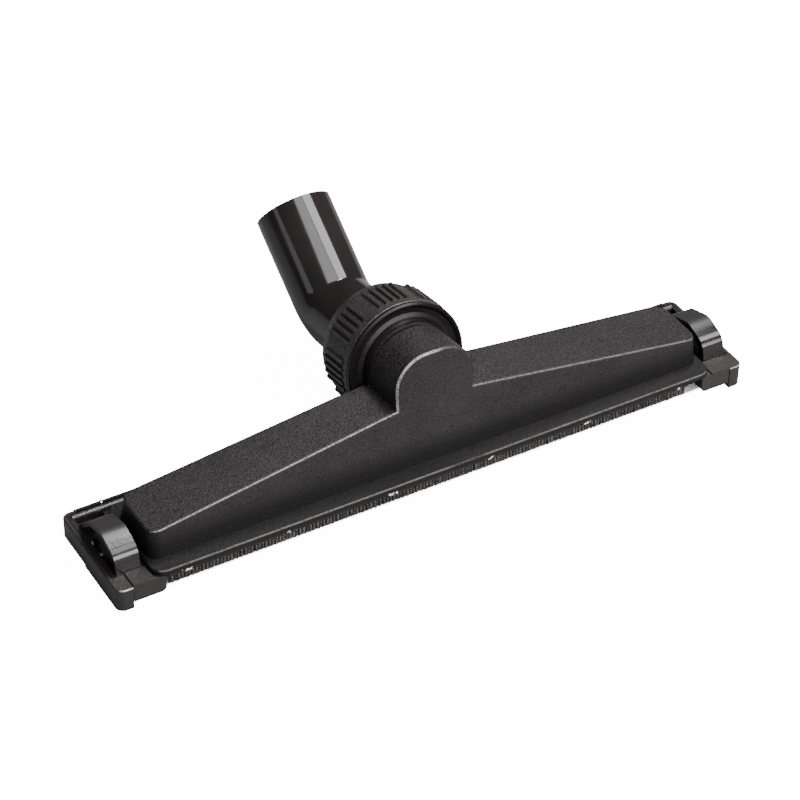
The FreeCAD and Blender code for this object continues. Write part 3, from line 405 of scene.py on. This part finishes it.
MATERIALS = {
    "nozzle_housing": housing_mat,
    "base_frame": frame_mat,
    "end_cap_left": cap_mat,
    "end_cap_right": cap_mat,
    "corner_block_left": cap_mat,
    "corner_block_right": cap_mat,
    "wheel_fender_left": fender_mat,
    "wheel_fender_right": fender_mat,
    "wheel_left": wheel_mat,
    "wheel_right": wheel_mat,
    "wheel_axle_left": steel_mat,
    "wheel_axle_right": steel_mat,
    "strip_holder_front": frame_mat,
    "strip_holder_rear": frame_mat,
    "bristles_front": bristle_mat,
    "bristles_rear": bristle_mat,
    "strip_clips": clip_mat,
    "frame_screws": steel_mat,
    "rail_pins": pin_mat,
    "neck_collar": collar_mat,
    "swivel_washer": washer_mat,
    "union_nut": nut_mat,
    "elbow_tube": tube_mat}
for name, material in MATERIALS.items():
    mesh = nodes[name].data
    if not mesh.materials:
        mesh.materials.append(material)
    for index in range(len(mesh.materials)):
        mesh.materials[index] = material


# Bristles: rows of fine filaments in each strip, slightly bunched and splayed
def bristle_tree(material):
    tree = bpy.data.node_groups.new("bristle_row", "GeometryNodeTree")
    tree.interface.new_socket("Geometry", in_out="OUTPUT", socket_type="NodeSocketGeometry")
    for name, kind in (("Width", "Float"), ("Depth", "Float"), ("Length", "Float"),
                       ("Radius", "Float"), ("Columns", "Int"), ("Rows", "Int"),
                       ("Bunch Pitch", "Float"), ("Splay", "Float"), ("Middle", "Vector"),
                       ("Seed", "Int")):
        tree.interface.new_socket(name, in_out="INPUT", socket_type="NodeSocket" + kind)
    given = tree.nodes.new("NodeGroupInput")
    result = tree.nodes.new("NodeGroupOutput")

    def node(kind, links=(), **settings):
        made = tree.nodes.new(kind)
        for key, value in settings.items():
            setattr(made, key, value)
        for socket, source in links:
            tree.links.new(source, made.inputs[socket])
        return made

    def scaled(source, factor):
        made = node("ShaderNodeMath", ((0, source),), operation="MULTIPLY")
        made.inputs[1].default_value = factor
        return made.outputs[0]

    # One point for each filament, moved a little along the strip so that they bunch
    grid = node("GeometryNodeMeshGrid", (
        ("Size X", given.outputs["Width"]), ("Size Y", given.outputs["Depth"]),
        ("Vertices X", given.outputs["Columns"]), ("Vertices Y", given.outputs["Rows"])))
    place = node("GeometryNodeInputPosition")
    parts = node("ShaderNodeSeparateXYZ", ((0, place.outputs[0]),))
    turns = node("ShaderNodeMath", ((0, parts.outputs["X"]), (1, given.outputs["Bunch Pitch"])),
                 operation="DIVIDE")
    angle = scaled(turns.outputs[0], 2 * math.pi)
    wave = node("ShaderNodeMath", ((0, angle),), operation="SINE")
    reach = scaled(given.outputs["Bunch Pitch"], BUNCH_SHARE)
    gather = node("ShaderNodeMath", ((0, wave.outputs[0]), (1, reach)), operation="MULTIPLY")
    shift = node("ShaderNodeCombineXYZ", ((0, gather.outputs[0]),))
    offset = node("ShaderNodeVectorMath",
                  ((0, shift.outputs[0]), (1, given.outputs["Middle"])), operation="ADD")
    points = node("GeometryNodeSetPosition",
                  (("Geometry", grid.outputs["Mesh"]), ("Offset", offset.outputs[0])))

    # One filament, hanging down from its point
    hair = node("GeometryNodeMeshCylinder",
                (("Radius", given.outputs["Radius"]), ("Depth", given.outputs["Length"])))
    hair.inputs["Vertices"].default_value = FILAMENT_SIDES
    down = node("ShaderNodeCombineXYZ", ((2, scaled(given.outputs["Length"], -0.5)),))
    hung = node("GeometryNodeTransform",
                (("Geometry", hair.outputs["Mesh"]), ("Translation", down.outputs[0])))

    # A small random lean for each
    splay = given.outputs["Splay"]
    least = scaled(splay, -1.0)
    low = node("ShaderNodeCombineXYZ", ((0, least), (1, least)))
    high = node("ShaderNodeCombineXYZ", ((0, splay), (1, splay)))
    lean = node("FunctionNodeRandomValue", data_type="FLOAT_VECTOR")
    tree.links.new(low.outputs[0], lean.inputs["Min"])
    tree.links.new(high.outputs[0], lean.inputs["Max"])
    tree.links.new(given.outputs["Seed"], lean.inputs["Seed"])
    row = node("GeometryNodeInstanceOnPoints", (
        ("Points", points.outputs["Geometry"]), ("Instance", hung.outputs["Geometry"]),
        ("Rotation", lean.outputs["Value"])))
    real = node("GeometryNodeRealizeInstances", ((0, row.outputs[0]),))
    dyed = node("GeometryNodeSetMaterial", ((0, real.outputs[0]),))
    dyed.inputs["Material"].default_value = material
    tree.links.new(dyed.outputs[0], result.inputs[0])
    return tree


def bristle_row(tree, node_name, seed, name):
    low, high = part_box(node_name)
    values = {
        "Width": high[0] - low[0] - ROW_END_MARGIN,
        "Depth": high[1] - low[1] - ROW_FACE_MARGIN,
        "Length": high[2] - low[2] - ROW_FOOT_MARGIN,
        "Radius": FILAMENT_RADIUS,
        "Columns": int((high[0] - low[0]) / FILAMENT_PITCH),
        "Rows": FILAMENT_ROWS,
        "Bunch Pitch": BUNCH_PITCH,
        "Splay": FILAMENT_SPLAY,
        "Seed": seed,
        "Middle": ((low[0] + high[0]) / 2, (low[1] + high[1]) / 2, high[2])}
    holder = bpy.data.objects.new(name, bpy.data.meshes.new(name))
    scene.collection.objects.link(holder)
    modifier = holder.modifiers.new("row", "NODES")
    modifier.node_group = tree
    for item in tree.interface.items_tree:
        if item.in_out == "INPUT" and item.name in values:
            modifier[item.identifier] = values[item.name]
    holder.update_tag()
    bpy.context.view_layer.update()
    graph = bpy.context.evaluated_depsgraph_get()
    mesh = bpy.data.meshes.new_from_object(holder.evaluated_get(graph))
    holder.modifiers.clear()
    holder.data = mesh
    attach(holder, "head")
    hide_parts(node_name)


rows = bristle_tree(bristle_mat)
bristle_row(rows, "bristles_front", 3, "front_bristles")
bristle_row(rows, "bristles_rear", 8, "rear_bristles")

# Floor: the camera sees it white, and the plastic sees a dim one
floor_mat, tree, shader, place = new_material("studio_white")
seen = tree.nodes.new("ShaderNodeLightPath").outputs["Is Camera Ray"]
paper = mix_colors(tree, noise(tree, place, PAPER_SCALE), grey(PAPER_DARK), grey(PAPER_BRIGHT))
tree.links.new(paper, shader.inputs["Base Color"])
set_where(tree, shader, falling(tree, seen, 0.0, 1.0), "Base Color", grey(FLOOR_ALBEDO))
shader.inputs["Roughness"].default_value = FLOOR_ROUGHNESS
shader.inputs["Emission Color"].default_value = grey(1.0)

# Painted shadow under the head: there the floor doesn't glow white, so that gaps in the strips and
# the mouth show dark
frame_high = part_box("base_frame")[1]
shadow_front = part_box("bristles_front")[0][1]
shadow_side = frame_high[0]
shadow_middle = (shadow_front + frame_high[1]) / 2
shadow_half = (frame_high[1] - shadow_front) / 2
spot = axes_of(tree, place)
along = math_node(tree, "ABSOLUTE", spot["X"])
across = math_node(tree, "ABSOLUTE", math_node(tree, "ADD", spot["Y"], value=-shadow_middle))
floor_shadow = product(tree, falling(tree, along, shadow_side - 2 * SHADOW_SOFT, shadow_side + SHADOW_SOFT),
                falling(tree, across, shadow_half - SHADOW_SOFT, shadow_half + SHADOW_SOFT))
lit = product(tree, seen, falling(tree, floor_shadow, 0.0, 1.0))
tree.links.new(ramp(tree, lit, FLOOR_GLOW, FLOOR_WHITE, 0.0, 1.0),
               shader.inputs["Emission Strength"])

# From below the floor is clear, so that the underside can be looked at
clear = tree.nodes.new("ShaderNodeBsdfTransparent")
either = tree.nodes.new("ShaderNodeMixShader")
output = shader.outputs["BSDF"].links[0].to_node
tree.links.new(tree.nodes.new("ShaderNodeNewGeometry").outputs["Backfacing"], either.inputs[0])
tree.links.new(shader.outputs["BSDF"], either.inputs[1])
tree.links.new(clear.outputs["BSDF"], either.inputs[2])
tree.links.new(either.outputs["Shader"], output.inputs["Surface"])
mesh = bpy.data.meshes.new("studio_floor")
corners = [(-FLOOR_HALF, -FLOOR_HALF, 0), (FLOOR_HALF, -FLOOR_HALF, 0),
           (FLOOR_HALF, FLOOR_HALF, 0), (-FLOOR_HALF, FLOOR_HALF, 0)]
mesh.from_pydata(corners, [], [(0, 1, 2, 3)])
floor = bpy.data.objects.new("studio_floor", mesh)
floor.data.materials.append(floor_mat)
scene.collection.objects.link(floor)

# Lights
OVERHEAD = (0.14, -0.36, 0.80)
LIGHT_TARGET = (0.0, HEAD_Y, 0.03)


def softbox(name, direction, distance, width, height, power, shift=0.0):
    # A rectangular lamp that faces the middle of the head from the given direction, moved
    # sideways in its own plane by the given shift
    light = bpy.data.lights.new(name, "AREA")
    light.shape = "RECTANGLE"
    light.size = width
    light.size_y = height
    light.energy = power
    item = bpy.data.objects.new(name, light)
    away = Vector(direction).normalized()
    turn = (-away).to_track_quat("-Z", "Y")
    item.location = Vector(LIGHT_TARGET) + away * distance + turn @ Vector((shift, 0.0, 0.0))
    item.rotation_euler = turn.to_euler()
    scene.collection.objects.link(item)


softbox("overhead_wide", OVERHEAD, distance=1.5, width=1.12, height=0.8, power=18, shift=-0.39)
softbox("overhead_bright", OVERHEAD, distance=1.5, width=0.74, height=0.8, power=24, shift=0.58)
softbox("crest", (0.34, 0.10, 0.95), distance=1.5, width=0.7, height=0.30, power=28)
softbox("front", (0.25, -0.92, 0.38), distance=1.8, width=1.4, height=0.7, power=46)
softbox("left_strip", (-0.96, 0.10, 0.30), distance=1.4, width=0.3, height=0.5, power=0.6)

# World: brighter for diffuse light than for reflections
world = bpy.data.worlds.new("studio")
scene.world = world
world.use_nodes = True
sky = world.node_tree
rays = sky.nodes.new("ShaderNodeLightPath")
glow = ramp(sky, rays.outputs["Is Glossy Ray"], WORLD_DIFFUSE, WORLD_GLOSSY, 0.0, 1.0)
sky.links.new(glow, sky.nodes["Background"].inputs["Strength"])
sky.nodes["Background"].inputs["Color"].default_value = grey(1.0)

# Camera
azimuth = math.radians(CAMERA_AZIMUTH)
elevation = math.radians(CAMERA_ELEVATION)
roll = math.radians(CAMERA_ROLL)
back = Vector((math.sin(azimuth) * math.cos(elevation), -math.cos(azimuth) * math.cos(elevation),
               math.sin(elevation)))
side = (-back).cross(Vector((0, 0, 1))).normalized()
upward = side.cross(-back).normalized()
right = side * math.cos(roll) + upward * math.sin(roll)
top = -side * math.sin(roll) + upward * math.cos(roll)
stand = Vector(CAMERA_AIM) + back * CAMERA_DISTANCE
camera_data = bpy.data.cameras.new("camera")
camera_data.sensor_width = SENSOR_WIDTH
camera_data.lens = FOCAL_PIXELS / PICTURE_PIXELS * SENSOR_WIDTH
camera_data.shift_x = (PICTURE_MIDDLE - OPTICAL_X) / PICTURE_PIXELS
camera_data.shift_y = (OPTICAL_Y - PICTURE_MIDDLE) / PICTURE_PIXELS
camera_data.clip_end = CLIP_END
camera = bpy.data.objects.new("camera", camera_data)
camera.matrix_world = Matrix((
    (right.x, top.x, back.x, stand.x), (right.y, top.y, back.y, stand.y),
    (right.z, top.z, back.z, stand.z), (0, 0, 0, 1)))
scene.collection.objects.link(camera)
scene.camera = camera
